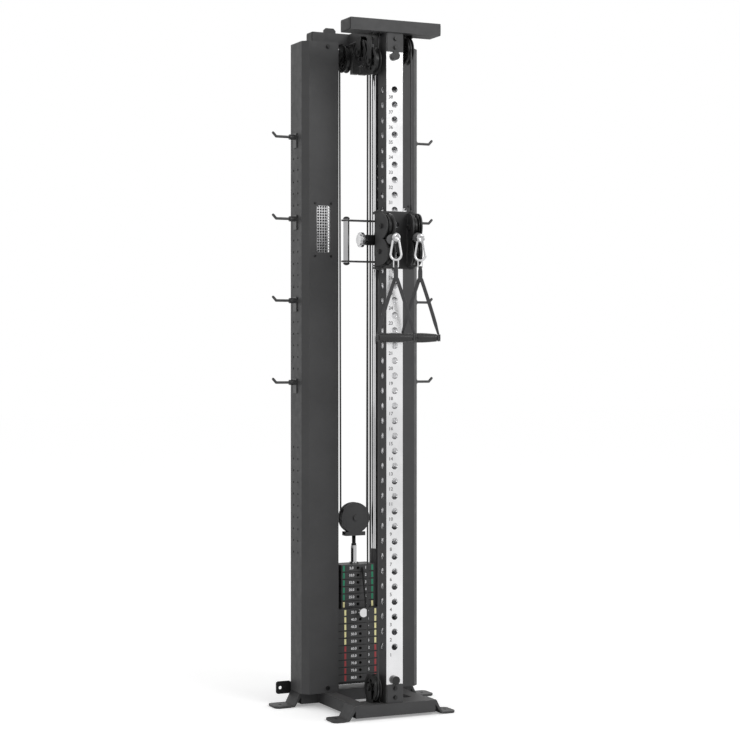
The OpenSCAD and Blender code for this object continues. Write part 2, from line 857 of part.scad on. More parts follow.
// cable in the head: along the swivel axis, a quarter turn and straight out to the ball
module handle_cable(side) {
    z = side * head_pz;
    translate([0, 0, side < 0 ? z - 60 : z]) cylinder(r = cable_r, h = 60);
    translate([head_r, 0, z])
        rotate([90, 0, 0])
            rotate([0, 0, side < 0 ? 90 : 180])
                rotate_extrude(angle = 90) translate([head_r, 0]) circle(r = cable_r);
    bar_x([head_r, 0, side * exit_z], cable_r, ball_u - ball_face - head_r - soft);
}

// rubber ball with flat ends, and the eye that the carabiner hangs in
module cable_ball(side) {
    ez = side * exit_z;
    translate([ball_u, 0, ez])
        rotate([0, 90, 0])
            rotate_extrude()
                polygon([[0, -ball_face],
                    for (a = [-75:7.5:75]) [ball_r * cos(a), ball_r * sin(a)],
                    [0, ball_face]]);
    bar_x([ball_u + ball_face - 1, 0, ez], 3, hang_u - ball_u - ball_face - 4);
    translate([hang_u, 0, 0])
        rotate([0, 0, 90 + side * toe(side) - handle_yaw])
            difference() {
                union() {
                    bar_x([-eye_t, 0, clip_up], 8.5, 2 * eye_t);
                    bar_x([-eye_t, 0, ez], 7, 2 * eye_t);
                }
                bar_x([-4, 0, clip_up], wire_r + 1.2, 8);
            }
}

module left_head_frame() color(frame_grey) head(-1) head_frame(-1);

module right_head_frame() color(frame_grey) head(1) head_frame(1);

module left_lower_pulley() color(black) head(-1) head_pulley(head_r, -head_pz);

module left_upper_pulley() color(black) head(-1) head_pulley(idle_u, head_pz);

module right_upper_pulley() color(black) head(1) head_pulley(head_r, head_pz);

module right_lower_pulley() color(black) head(1) head_pulley(idle_u, -head_pz);

module left_handle_cable() color(cable_grey) head(-1) handle_cable(-1);

module right_handle_cable() color(cable_grey) head(1) handle_cable(1);

module left_cable_ball() color(black) head(-1) cable_ball(-1);

module right_cable_ball() color(black) head(1) cable_ball(1);

// Handles, drawn in the plane across Y under the hinge axis and turned by the handle's yaw

module hang(side) {
    carriage()
        translate([side * (run_x - hang_u * sin(toe(side))), run_y - hang_u * cos(toe(side)), 0])
            rotate([0, 0, -handle_yaw]) children();
}

// bend of a wire loop in the plane across Y, from angle a through the turn da
module bend(z, r, a, da) {
    translate([0, 0, z])
        rotate([90, 0, 0])
            rotate([0, 0, a])
                rotate_extrude(angle = da) translate([r, 0]) circle(r = wire_r);
}

// pear-shaped carabiner, with the small shackle that holds the strap
module carabiner() {
    low = clip_up - clip_h;
    high_c = clip_up - clip_top;
    low_c = low + clip_w;
    lean = asin((clip_w - clip_top) / (high_c - low_c));
    bend(high_c, clip_top, lean, 180 - 2 * lean);
    bend(low_c, clip_w, 180 - lean, 180 + 2 * lean);
    for (s = [-1, 1])
        bar([s * (clip_top * cos(lean) - sin(lean)), 0, high_c + clip_top * sin(lean) + 1],
            [s * (clip_w * cos(lean) + sin(lean)), 0, low_c + clip_w * sin(lean) - 1],
            wire_r - 0.1);
    for (s = [-1, 1]) translate([s * 7.6, 0, low - 23]) cylinder(r = 2, h = 24);
    bar_x([-7.6, 0, low - 23], 2, 15.2);
}

// flat strip in the plane between two points
module strip(p, q, w) {
    d = q - p;
    translate([p[0], p[1]])
        rotate([0, 0, atan2(d[1], d[0])]) translate([0, -w / 2]) square([norm(d), w]);
}

// webbing: loop on the shackle, doubled neck, two legs and a ring round each grip neck
module strap() {
    top = clip_up - clip_h - 23;
    difference() {
        union() {
            bar_x([-5.2, 0, top], 4.6, 10.4);
            translate([0, 2.4, 0])
                rotate([90, 0, 0])
                    linear_extrude(4.8)
                        union() {
                            strip([0, top], [0, top - 12], 10.4);
                            strip([0, top - 6], [0, -fork_z - 6], 14.6);
                            for (s = [-1, 1])
                                strip([s * 3, -fork_z + 3], [s * 58.5, -grip_z + 10], 12);
                        }
            for (s = [-1, 1]) bar_x([s * 59.5 - 3.5, 0, -grip_z], 12, 7);
        }
        bar_x([-8, 0, top], 2 + soft, 16);
        bar_x([-barrel_l - soft, 0, -grip_z], barrel_r + soft, 2 * (barrel_l + soft));
        for (s = [-1, 1]) bar_x([s * 59.5 - 12, 0, -grip_z], neck_r + soft, 24);
    }
}

// barrel with a neck and an end cap on each side
module grip() {
    translate([0, 0, -grip_z])
        rotate([0, 90, 0]) {
            rotate_extrude()
                polygon([[0, -end_l], [end_r, -end_l], [end_r, -end_l + 2.5],
                    [neck_r, -end_l + 2.5], [neck_r, -barrel_l], [barrel_r - 1.5, -barrel_l],
                    [barrel_r, -18], [barrel_r, 18], [barrel_r - 1.5, barrel_l],
                    [neck_r, barrel_l], [neck_r, end_l - 2.5], [end_r, end_l - 2.5],
                    [end_r, end_l], [0, end_l]]);
        }
}

module left_carabiner() color(chrome_grey) hang(-1) carabiner();

module right_carabiner() color(chrome_grey) hang(1) carabiner();

module left_strap() color(frame_grey) hang(-1) strap();

module right_strap() color(frame_grey) hang(1) strap();

module left_grip() color(frame_grey) hang(-1) grip();

module right_grip() color(frame_grey) hang(1) grip();

base_front_beam();
base_side_rails();
base_rear_beam();
feet();
foot_pads();
wall_anchor_tabs();
guide_column();
column_channel();
column_brackets();
frame_bolts();
carriage_stops();
top_front_beam();
rear_top_frame();
left_upright();
right_upright();
mesh_panels();
guide_rods();
stack_buffers();
lower_plates();
storage_hooks();
pulley_hangers();
fixed_cables();
left_head_cable();
right_head_cable();
left_rear_pulley();
right_rear_pulley();
left_return_pulley();
left_guide_pulley();
right_column_pulley();
bottom_pulley();
upper_plates();
selected_plate();
lift_rod();
rod_sleeves();
floating_bracket();
stack_cable();
pin_lanyard();
floating_pulley();
selector_pin();
carriage_sleeve();
slide_liners();
grip_tube();
plunger_housing();
index_plunger();
left_head_frame();
right_head_frame();
left_lower_pulley();
left_upper_pulley();
right_upper_pulley();
right_lower_pulley();
left_handle_cable();
right_handle_cable();
left_cable_ball();
right_cable_ball();
left_carabiner();
right_carabiner();
left_strap();
right_strap();
left_grip();
right_grip();
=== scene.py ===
import math

import bpy
import numpy as np
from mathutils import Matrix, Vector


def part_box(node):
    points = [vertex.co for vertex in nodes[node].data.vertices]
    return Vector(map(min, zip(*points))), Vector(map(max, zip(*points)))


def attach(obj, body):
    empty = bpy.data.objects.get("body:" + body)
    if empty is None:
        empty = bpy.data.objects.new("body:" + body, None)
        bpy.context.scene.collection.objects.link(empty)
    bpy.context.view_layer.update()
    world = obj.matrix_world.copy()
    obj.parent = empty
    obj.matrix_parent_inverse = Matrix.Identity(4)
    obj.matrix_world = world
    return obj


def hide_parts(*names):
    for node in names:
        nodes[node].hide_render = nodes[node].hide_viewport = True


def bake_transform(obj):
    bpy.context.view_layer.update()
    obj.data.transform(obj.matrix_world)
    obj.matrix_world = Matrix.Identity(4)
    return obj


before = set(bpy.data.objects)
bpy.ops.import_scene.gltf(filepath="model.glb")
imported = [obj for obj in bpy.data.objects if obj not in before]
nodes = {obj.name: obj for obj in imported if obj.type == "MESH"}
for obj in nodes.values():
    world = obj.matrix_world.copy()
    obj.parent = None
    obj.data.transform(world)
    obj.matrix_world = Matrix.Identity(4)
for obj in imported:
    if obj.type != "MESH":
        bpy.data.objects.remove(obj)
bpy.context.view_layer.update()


print("stage: frame loaded")

# the column's front face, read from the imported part
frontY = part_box("guide_column")[0][1]


def at(x, y, z):
    # a place given in millimetres from the column's front face, in the row frame in metres
    return np.array([x / 1000, frontY + y / 1000, z / 1000])


# shader node groups: each effect that several finishes share is built once


def addNode(tree, kind, **values):
    made = tree.nodes.new(kind)
    for key, value in values.items():
        setattr(made, key, value)
    return made


def feed(tree, socket, value):
    # links the output of another node, or sets a plain value
    if isinstance(value, bpy.types.NodeSocket):
        tree.links.new(value, socket)
    else:
        socket.default_value = value


def addMath(tree, operation, *values):
    made = addNode(tree, "ShaderNodeMath", operation=operation)
    for socket, value in zip(made.inputs, values):
        feed(tree, socket, value)
    return made.outputs[0]


def addNoise(tree, place, scale, detail, rough=0.5):
    noise = addNode(tree, "ShaderNodeTexNoise")
    for key, value in (("Vector", place), ("Scale", scale), ("Detail", detail), ("Roughness", rough)):
        feed(tree, noise.inputs[key], value)
    return noise.outputs["Fac"]


def addRange(tree, value, low, high, toLow, toHigh):
    ramp = addNode(tree, "ShaderNodeMapRange")
    feed(tree, ramp.inputs["Value"], value)
    for key, number in (("From Min", low), ("From Max", high), ("To Min", toLow), ("To Max", toHigh)):
        feed(tree, ramp.inputs[key], number)
    return ramp.outputs["Result"]


def addMix(tree, factor, first, second):
    mix = addNode(tree, "ShaderNodeMix", data_type="RGBA")
    for socket, value in ((mix.inputs[0], factor), (mix.inputs[6], first), (mix.inputs[7], second)):
        feed(tree, socket, value)
    return mix.outputs[2]


def addTint(tree, color, shade):
    # a colour times a number
    tint = addNode(tree, "ShaderNodeVectorMath", operation="SCALE")
    feed(tree, tint.inputs[0], color)
    feed(tree, tint.inputs["Scale"], shade)
    return tint.outputs[0]


def objectPlace(tree):
    return addNode(tree, "ShaderNodeTexCoord").outputs["Object"]


def newGroup(name, inputs, outputs):
    # inputs are names with a number, or a colour of four values; outputs are names
    group = bpy.data.node_groups.new(name, "ShaderNodeTree")
    for label, value in inputs.items():
        kind = "NodeSocketColor" if label == "Color" else "NodeSocketFloat"
        group.interface.new_socket(label, in_out="INPUT", socket_type=kind).default_value = value
    for label in outputs:
        kind = "NodeSocketColor" if label == "Color" else "NodeSocketFloat"
        group.interface.new_socket(label, in_out="OUTPUT", socket_type=kind)
    return group, addNode(group, "NodeGroupInput").outputs, addNode(group, "NodeGroupOutput").inputs


def makeSurfaceGroup():
    # fine grain, slow colour drift and light dust on upward faces
    inputs = {"Color": (0.5, 0.5, 0.5, 1), "Grain Scale": 900.0, "Drift": 0.15, "Roughness": 0.5,
              "Roughness Spread": 0.08, "Dust": 0.1}
    dustColor = (0.42, 0.41, 0.39, 1)
    group, given, out = newGroup("surfaceFinish", inputs, ["Color", "Roughness", "Height"])
    place = objectPlace(group)
    grain = addNoise(group, place, given["Grain Scale"], 3)
    drift = addNoise(group, place, 7, 4, 0.6)
    smudge = addNoise(group, place, 38, 5, 0.65)
    shade = addMath(group, "MULTIPLY_ADD", addRange(group, drift, 0.3, 0.7, -1, 1), given["Drift"], 1)
    tint = addTint(group, given["Color"], shade)
    up = addNode(group, "ShaderNodeSeparateXYZ")
    feed(group, up.inputs[0], addNode(group, "ShaderNodeNewGeometry").outputs["Normal"])
    dust = addMath(group, "MULTIPLY", addRange(group, up.outputs["Z"], 0.5, 1, 0, 1), given["Dust"])
    specks = addMath(group, "MULTIPLY", dust, addRange(group, smudge, 0.4, 0.65, 0.2, 1))
    worn = addRange(group, smudge, 0.3, 0.7, -1, 1)
    rough = addMath(group, "MULTIPLY_ADD", worn, given["Roughness Spread"], given["Roughness"])
    feed(group, out["Color"], addMix(group, specks, tint, dustColor))
    feed(group, out["Roughness"], rough)
    feed(group, out["Height"], grain)
    return group


def makeStreakGroup():
    # long thin streaks along Z, as polishing leaves on drawn tube and rod
    inputs = {"Color": (0.8, 0.8, 0.8, 1), "Roughness": 0.12, "Depth": 0.06}
    group, given, out = newGroup("drawnStreaks", inputs, ["Color", "Roughness", "Height"])
    place = objectPlace(group)
    stretch = addNode(group, "ShaderNodeMapping")
    feed(group, stretch.inputs["Vector"], place)
    feed(group, stretch.inputs["Scale"], (1, 1, 0.015))
    streaks = addNoise(group, stretch.outputs["Vector"], 700, 3, 0.6)
    clouds = addNoise(group, place, 12, 4, 0.6)
    lines = addRange(group, streaks, 0.35, 0.65, -0.5, 0.5)
    wear = addMath(group, "MULTIPLY_ADD", lines, given["Depth"], given["Roughness"])
    rough = addMath(group, "MULTIPLY_ADD", addRange(group, clouds, 0.35, 0.7, 0, 1), given["Depth"], wear)
    dim = addRange(group, clouds, 0.3, 0.7, 0.9, 1.0)
    feed(group, out["Color"], addTint(group, given["Color"], dim))
    feed(group, out["Roughness"], rough)
    feed(group, out["Height"], streaks)
    return group


def makeWeaveGroup():
    # crossing threads on a UV map in metres: two wave patterns at right angles
    inputs = {"Color": (0.1, 0.1, 0.1, 1), "Thread": 900.0}
    group, given, out = newGroup("weave", inputs, ["Color", "Height"])
    across = addNode(group, "ShaderNodeSeparateXYZ")
    feed(group, across.inputs[0], addNode(group, "ShaderNodeUVMap").outputs["UV"])
    waves = []
    for axis, share in (("X", 1.0), ("Y", 0.5)):
        scaled = addMath(group, "MULTIPLY", across.outputs[axis], given["Thread"])
        phase = addMath(group, "MULTIPLY", scaled, 2 * math.pi * share)
        waves.append(addMath(group, "SINE", phase))
    threads = addMath(group, "MULTIPLY", *waves)
    fuzz = addNoise(group, objectPlace(group), 220, 4)
    # colour follows thread height: painted shade in the weave's hollows and painted highlight on the crowns;
    # the fuzz is the threads' own random tone
    paintedThreadShade = addRange(group, threads, -1, 1, 0.72, 1.15)
    shade = addMath(group, "MULTIPLY", paintedThreadShade, addRange(group, fuzz, 0.3, 0.7, 0.88, 1.12))
    feed(group, out["Color"], addTint(group, given["Color"], shade))
    feed(group, out["Height"], addRange(group, threads, -1, 1, 0, 1))
    return group


surfaceGroup = makeSurfaceGroup()
streakGroup = makeStreakGroup()
weaveGroup = makeWeaveGroup()


def newMaterial(name, metallic, specular=0.5):
    material = bpy.data.materials.new(name)
    material.use_nodes = True
    shader = material.node_tree.nodes["Principled BSDF"]
    shader.inputs["Metallic"].default_value = metallic
    shader.inputs["Specular IOR Level"].default_value = specular
    return material, material.node_tree, shader


bumpStrength = 0.35


def linkGroup(tree, shader, group, values, depth):
    # places a group with its own values; its height becomes a bump of the given depth in metres
    placed = addNode(tree, "ShaderNodeGroup", node_tree=group)
    for key, value in values.items():
        placed.inputs[key].default_value = value
    tree.links.new(placed.outputs["Color"], shader.inputs["Base Color"])
    if "Roughness" in placed.outputs:
        tree.links.new(placed.outputs["Roughness"], shader.inputs["Roughness"])
    bump = addNode(tree, "ShaderNodeBump")
    bump.inputs["Strength"].default_value = bumpStrength
    bump.inputs["Distance"].default_value = depth
    tree.links.new(placed.outputs["Height"], bump.inputs["Height"])
    tree.links.new(bump.outputs["Normal"], shader.inputs["Normal"])


def paint(name, grey, rough, grain=700.0, dust=0.08, depth=0.0002, specular=0.35):
    # powder coat, plastic, rubber or print: one grey, or a colour of three values
    color = grey if isinstance(grey, tuple) else (grey, grey, grey * 1.02)
    material, tree, shader = newMaterial(name, 0.0, specular)
    values = {"Color": (*color, 1), "Grain Scale": grain, "Drift": 0.1, "Roughness": rough, "Dust": dust}
    linkGroup(tree, shader, surfaceGroup, values, depth)
    return material


def polished(name, grey, rough, spread=0.05, depth=0.00004):
    # chromed or bright metal with drawn streaks
    material, tree, shader = newMaterial(name, 1.0)
    values = {"Color": (grey, grey, grey * 1.01, 1), "Roughness": rough, "Depth": spread}
    linkGroup(tree, shader, streakGroup, values, depth)
    return material


def woven(name, grey):
    # webbing: the weave's threads are raised 0.6 mm before the bump's strength
    material, tree, shader = newMaterial(name, 0.0, 0.2)
    linkGroup(tree, shader, weaveGroup, {"Color": (grey, grey, grey * 1.03, 1)}, 0.0006)
    shader.inputs["Roughness"].default_value = 0.85
    shader.inputs["Sheen Weight"].default_value = 0.25
    return material


finish = {
    "powder": paint("framePowder", 0.046, 0.55),
    "cover": paint("coverPowder", 0.046, 0.5),
    "head": paint("headPowder", 0.03, 0.5),
    "black": paint("blackPowder", 0.006, 0.45),
    "hook": paint("hookSteel", 0.04, 0.34, grain=1100.0, depth=0.0001, dust=0.0, specular=0.5),
    "stack": paint("plateCoating", 0.045, 0.52, grain=420.0, depth=0.0003),
    # near-black band for the plate joints: painted shadow
    "shadowSeam": paint("plateShadowSeam", 0.003, 0.7, dust=0.0),
    "cord": paint("cordSkin", 0.003, 0.35, dust=0.0, depth=0.0001, specular=0.5),
    "chrome": polished("columnChrome", 0.9, 0.16),
    "rod": polished("rodChrome", 0.84, 0.03, 0.01, 0.000001),
    "tube": polished("gripChrome", 0.42, 0.14, 0.04),
    "fitting": polished("fittingChrome", 0.52, 0.13, 0.05),
    "clip": polished("clipChrome", 0.72, 0.1, 0.04),
    "mesh": polished("meshMetal", 0.7, 0.3, 0.08),
    "nylon": paint("pulleyNylon", 0.008, 0.34, grain=1200.0, depth=0.0001),
    "channel": paint("channelSheet", 0.055, 0.5),
    "rubber": paint("blackRubber", 0.009, 0.5, grain=520.0, depth=0.0003, dust=0.15),
    "ball": paint("ballRubber", 0.12, 0.55, grain=600.0, depth=0.0002, dust=0.05),
    "cable": paint("cableCoat", 0.025, 0.42, grain=900.0, dust=0.0, depth=0.0001, specular=0.5),
    "hand": paint("handFoam", 0.011, 0.24, grain=380.0, depth=0.0001, dust=0.02, specular=0.6),
    "webbing": woven("strapWebbing", 0.06),
    "thread": paint("stitchThread", 0.12, 0.8, dust=0.0),
    "ink": paint("numberInk", 0.13, 0.5, dust=0.0),
    "white": paint("numberWhite", 0.8, 0.5, dust=0.0),
    "green": paint("barGreen", (0.02, 0.25, 0.13), 0.45, dust=0.0),
    "yellow": paint("barYellow", (0.85, 0.8, 0.4), 0.45, dust=0.0),
    "red": paint("barRed", (0.36, 0.05, 0.055), 0.45, dust=0.0),
}

nodeFinish = {
    "powder": ["base_front_beam", "base_side_rails", "base_rear_beam", "feet", "top_front_beam",
               "rear_top_frame", "column_brackets", "floating_bracket"],
    "head": ["carriage_sleeve", "left_head_frame", "right_head_frame"],
    "cover": ["left_upright", "right_upright"],
    "black": ["wall_anchor_tabs", "pulley_hangers", "plunger_housing"],
    "channel": ["column_channel"],
    "nylon": ["slide_liners", "left_rear_pulley", "right_rear_pulley", "left_return_pulley",
              "left_guide_pulley", "right_column_pulley", "bottom_pulley", "floating_pulley",
              "left_lower_pulley", "left_upper_pulley", "right_upper_pulley", "right_lower_pulley"],
    "stack": ["lower_plates", "selected_plate", "upper_plates", "rod_sleeves"],
    "chrome": ["guide_column"],
    "rod": ["guide_rods"],
    "tube": ["grip_tube"],
    "hook": ["storage_hooks"],
    "fitting": ["lift_rod"],
    "clip": ["selector_pin", "left_carabiner", "right_carabiner", "index_plunger"],
    "mesh": ["mesh_panels"],
    "rubber": ["foot_pads", "stack_buffers"],
    "cord": ["carriage_stops", "frame_bolts"],
    "ball": ["left_cable_ball", "right_cable_ball"],
    "cable": ["fixed_cables"],
    "hand": ["left_grip", "right_grip"],
}
for key, names in nodeFinish.items():
    for name in names:
        nodes[name].data.materials.clear()
        nodes[name].data.materials.append(finish[key])
print("stage: node finishes set")

# shapes from numpy arrays


def signedPower(values, power):
    # turns the cosine or sine of a circle into that of a rounded rectangle
    return np.sign(values) * np.abs(values) ** power


def addPiece(name, vertices, faces, material, body=None, smooth=True, uv=None):
    # a mesh whose vertices are already in place, on an object at the origin
    mesh = bpy.data.meshes.new(name)
    mesh.from_pydata(np.asarray(vertices).reshape(-1, 3).tolist(), [], faces)
    mesh.materials.append(finish[material])
    if uv is not None:
        layer = mesh.uv_layers.new(name="UVMap")
        index = np.zeros(len(mesh.loops), np.int32)
        mesh.loops.foreach_get("vertex_index", index)
        layer.data.foreach_set("uv", uv.reshape(-1, 2)[index].ravel())
    mesh.polygons.foreach_set("use_smooth", [smooth] * len(mesh.polygons))
    mesh.update()
    piece = bpy.data.objects.new(name, mesh)
    bpy.context.scene.collection.objects.link(piece)
    if body:
        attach(piece, body)
    return piece


def gridFaces(rows, columns, closeRows=False):
    # quads of a grid whose columns close into a ring, with end caps unless its rows close too
    row = np.arange(rows if closeRows else rows - 1)[:, None]
    column = np.arange(columns)[None, :]
    nextRow = (row + 1) % rows
    nextColumn = (column + 1) % columns
    quads = np.stack([row * columns + column, row * columns + nextColumn,
                      nextRow * columns + nextColumn, nextRow * columns + column], -1)
    faces = quads.reshape(-1, 4).tolist()
    if not closeRows:
        faces.append(np.arange(columns)[::-1].tolist())
        faces.append(((rows - 1) * columns + np.arange(columns)).tolist())
    return faces


def sweep(path, outline, side, close=False):
    # outline points (a, b) carried along a path: a goes along cross(side, tangent), b along side
    tangent = np.roll(path, -1, 0) - np.roll(path, 1, 0) if close else np.gradient(path, axis=0)
    tangent /= np.linalg.norm(tangent, axis=1, keepdims=True)
    side = np.broadcast_to(side, path.shape)
    side = side - (side * tangent).sum(1, keepdims=True) * tangent
    side = side / np.linalg.norm(side, axis=1, keepdims=True)
    across = np.cross(side, tangent)
    a = outline[..., 0, None]
    b = outline[..., 1, None]
    return path[:, None] + a * across[:, None] + b * side[:, None]


def circleOutline(radius, count=16):
    # radius times cosine and sine of a full turn
    turn = np.linspace(0, 2 * math.pi, count, endpoint=False)
    return radius * np.stack([np.cos(turn), np.sin(turn)], -1)


def bandOutline(width, thick, count=24):
    # flat band with rounded edges, a superellipse of fourth power across its width
    turn = np.linspace(0, 2 * math.pi, count, endpoint=False)
    across = width / 2 * signedPower(np.cos(turn), 0.5)
    return np.stack([across, thick / 2 * signedPower(np.sin(turn), 0.7)], -1)


def straight(p, q, count):
    # evenly spaced points from p to q
    return p + (q - p) * np.linspace(0, 1, count)[:, None]


def smoothPath(points, count):
    # Catmull-Rom curve through given points
    points = np.asarray(points)
    padded = np.vstack([2 * points[0] - points[1], points, 2 * points[-1] - points[-2]])
    t = np.linspace(0, len(points) - 1 - 1e-6, count)
    k = t.astype(int)
    f = (t - k)[:, None]
    p0, p1, p2, p3 = padded[k], padded[k + 1], padded[k + 2], padded[k + 3]
    return 0.5 * (2 * p1 + (p2 - p0) * f + (2 * p0 - 5 * p1 + 4 * p2 - p3) * f ** 2
                  + (3 * p1 - p0 - 3 * p2 + p3) * f ** 3)


def sweptPiece(name, path, outline, side, material, body=None, close=False):
    # a swept surface with a UV map in metres: 60 mm for the way round, and the length along the path
    points = sweep(path, outline, side, close)
    length = np.concatenate([[0], np.cumsum(np.linalg.norm(np.diff(path, axis=0), axis=1))])
    girth = 0.06
    around = np.linspace(0, girth, outline.shape[-2], endpoint=False)
    uv = np.stack(np.broadcast_arrays(around[None, :], length[:, None]), -1)
    faces = gridFaces(len(path), outline.shape[-2], close)
    return addPiece(name, points, faces, material, body, uv=uv)


def turned(name, profile, origin, axis, material, body, count=40):
    # surface of revolution: profile rows are distance along the axis and radius, in millimetres
    axis = np.array(axis)
    u = np.cross(axis, [0, 1.0, 0] if abs(axis[2]) > 0.9 else [0, 0, 1.0])
    u /= np.linalg.norm(u)
    v = np.cross(axis, u)
    turn = np.linspace(0, 2 * math.pi, count, endpoint=False)
    profile = np.array(profile) / 1000
    ring = np.cos(turn)[:, None] * u + np.sin(turn)[:, None] * v
    points = origin + profile[:, :1, None] * axis + profile[:, 1:, None] * ring
    addPiece(name, points, gridFaces(len(profile), count), material, body)


def joinParts(name, parts, material, body, smooth=False):
    # one piece from many parts, each a pair of placed vertices and faces
    vertices = []
    faces = []
    start = 0
    for points, polygons in parts:
        vertices.append(points)
        faces += [[start + i for i in polygon] for polygon in polygons]
        start += len(points)
    addPiece(name, np.vstack(vertices), faces, material, body, smooth=smooth)


# cables: runs that change length are straight tubes from a point on one body to a point on another

sides = ((-1, "left"), (1, "right"))
# a cable head about its swivel axis: toe-in in degrees, leading and idle pulleys, ball, eye and bolts
head = {"z": 1585, "axisX": 60, "axisY": -1, "axisEnd": 101.5, "toeIn": {-1: 4.5, 1: 11}, "pulley": 37.5,
        "pulleyZ": 41.5, "idleReach": 49, "ballReach": 87, "ballRadius": 12, "eyeReach": 114, "eyeZ": 1,
        "boltFace": 19.6}
# falls from the rear pulleys to the floating one, and the ends of the front runs
cable = {"radius": 3, "rodY": 327, "fallX": 54, "floatZ": 638.6, "floatRadius": 50, "topZ": 2222, "lowZ": 97}
cableOutline = circleOutline(cable["radius"] / 1000)


def headAxes(side):
    # level unit vectors forward and across of a head that toes in
    toe = math.radians(head["toeIn"][side])
    forward = np.array([-side * math.sin(toe), -math.cos(toe), 0])
    return forward, np.array([math.cos(toe), -side * math.sin(toe), 0])


def headPoint(side, forward, z):
    # a point in a cable head: side is -1 or 1, forward is measured from the swivel axis
    toe = math.radians(head["toeIn"][side])
    x = side * (head["axisX"] - forward * math.sin(toe))
    return at(x, head["axisY"] - forward * math.cos(toe), head["z"] + z)


def stretchRun(name, p, q, replaced=None):
    # a straight tube from p on the first body to q on the second
    piece = sweptPiece(name, straight(p, q, 25), cableOutline, np.array([0.3, 0.9, 0.1]), "cable")
    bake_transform(piece)
    if replaced:
        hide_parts(replaced)


def stackCable():
    # two falls, and half a turn under the floating pulley
    for side, label in sides:
        top = at(side * cable["fallX"], cable["rodY"], cable["topZ"])
        low = at(side * cable["floatRadius"], cable["rodY"], cable["floatZ"])
        stretchRun(label + "Fall", top, low, "stack_cable")
    turn = np.linspace(math.pi, 2 * math.pi, 49)
    ring = np.stack([np.cos(turn), 0 * turn, np.sin(turn)], -1)
    bend = at(0, cable["rodY"], cable["floatZ"]) + ring * cable["floatRadius"] / 1000
    piece = sweptPiece("floatBend", bend, cableOutline, np.array([0, 1, 0]), "cable", "lifted_stack")


def frontRun(name, side, z, replaced):
    # from a pulley of the frame to the end of the head's swivel axis
    far = at(side * head["axisX"], head["axisY"], z)
    near = at(side * head["axisX"], head["axisY"], head["z"] + side * head["axisEnd"])
    stretchRun(name, far, near, replaced)


def headCable(side, label):
    # up or down the swivel axis, a quarter turn round the leading pulley, then out to the ball
    radius = head["pulley"]
    turn = np.linspace(0, math.pi / 2, 17)
    z = side * (head["pulleyZ"] - radius * np.sin(turn))
    forward = radius * (1 - np.cos(turn))
    arc = np.array([headPoint(side, f, h) for f, h in zip(forward, z)])
    start = headPoint(side, 0, side * head["axisEnd"])
    path = np.vstack([straight(start, arc[0], 12)[:-1], arc])
    rigid = sweptPiece(label + "HeadCable", path, cableOutline, headAxes(side)[1], "cable", label + "_head")
    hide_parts(label + "_handle_cable")
    exitZ = side * (head["pulleyZ"] - radius)
    ballBack = head["ballReach"] - head["ballRadius"]
    stretchRun(label + "PullRun", headPoint(side, radius, exitZ), headPoint(side, ballBack, exitZ))


stackCable()
frontRun("leftDownRun", -1, cable["lowZ"], "left_head_cable")
frontRun("rightUpRun", 1, cable["topZ"], "right_head_cable")
for side, label in sides:
    headCable(side, label)
print("stage: cables made")

# webbing straps and hand grips, in millimetres from the point they hang at

handleYaw = math.radians(25)
alongGrip = np.array([math.cos(handleYaw), -math.sin(handleYaw), 0])
outOfStrap = np.array([-math.sin(handleYaw), -math.cos(handleYaw), 0])
# the neck goes round the shackle's bar, and the legs run from the fork to the rings on the grip
strap = {"hang": 115, "width": 14.6, "waist": 10.4, "thick": 2.4, "layer": 1.3, "loopRadius": 3.55,
         "loopZ": -95, "waistZ": -99, "bendZ": -104, "wideZ": -106, "lowZ": -143}
leg = {"width": 12, "endWidth": 7, "thick": 3, "startOut": 3.2, "endOut": 59.5, "startZ": -132, "endZ": -314,
       "bow": 1.5, "lap": 1.1}
gripRing = {"z": -325, "radius": 10.65, "thick": 2.3, "width": 6.8}
stitch = {"rows": 6, "lowZ": -132, "highZ": -112, "points": 11, "reach": 5.548, "out": 2.72, "wave": 0.16,
          "radius": 0.35}
# half a grip from its middle: a swelling ribbed barrel, then rows of distance and radius of neck and end cap
handGrip = {"z": -325, "half": 54.5, "gap": 0.2, "endRadius": 12.3, "swell": 3.4, "swellPower": 1.1,
            "ribPitch": 4.4, "ribHeight": 0.12, "ribEnd": 50, "corner": 2.0, "cornerLength": 2.2,
            "end": [(54.5, 9), (63.4, 9), (63.5, 11.1), (63.8, 11.7), (64.3, 12), (65.2, 12), (65.7, 11.7),
                    (66, 11)]}


def strapPath(side, along, out, z):
    # points of a handle from its distances along the grip, out of the strap's face, and up
    offset = np.outer(along, alongGrip) + np.outer(out, outOfStrap) + np.outer(z, [0, 0, 1])
    return headPoint(side, strap["hang"], 0) + offset / 1000


def bandOutlines(across, alongSide):
    # a band outline for each point of a path, from its sizes across and along the sweep's side vector
    size = np.stack(np.broadcast_arrays(across, alongSide), -1)
    return bandOutline(1, 1) * size[:, None] / 1000


def makeNeck(side, label):
    # up the front, round the shackle's bar and down the back
    turn = np.linspace(0, math.pi, 15)
    layer = np.full(14, strap["layer"])
    rise = np.linspace(strap["lowZ"], strap["bendZ"], 14)
    out = np.concatenate([layer, strap["loopRadius"] * np.cos(turn), -layer])
    z = np.concatenate([rise, strap["loopZ"] + strap["loopRadius"] * np.sin(turn), rise[::-1]])
    width = np.interp(z, [strap["wideZ"], strap["waistZ"]], [strap["width"], strap["waist"]])
    outline = bandOutlines(strap["thick"], width)
    path = strapPath(side, 0 * out, out, z)
    neck = sweptPiece(label + "StrapNeck", path, outline, alongGrip, "webbing", label + "_handle")
    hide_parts(label + "_strap")


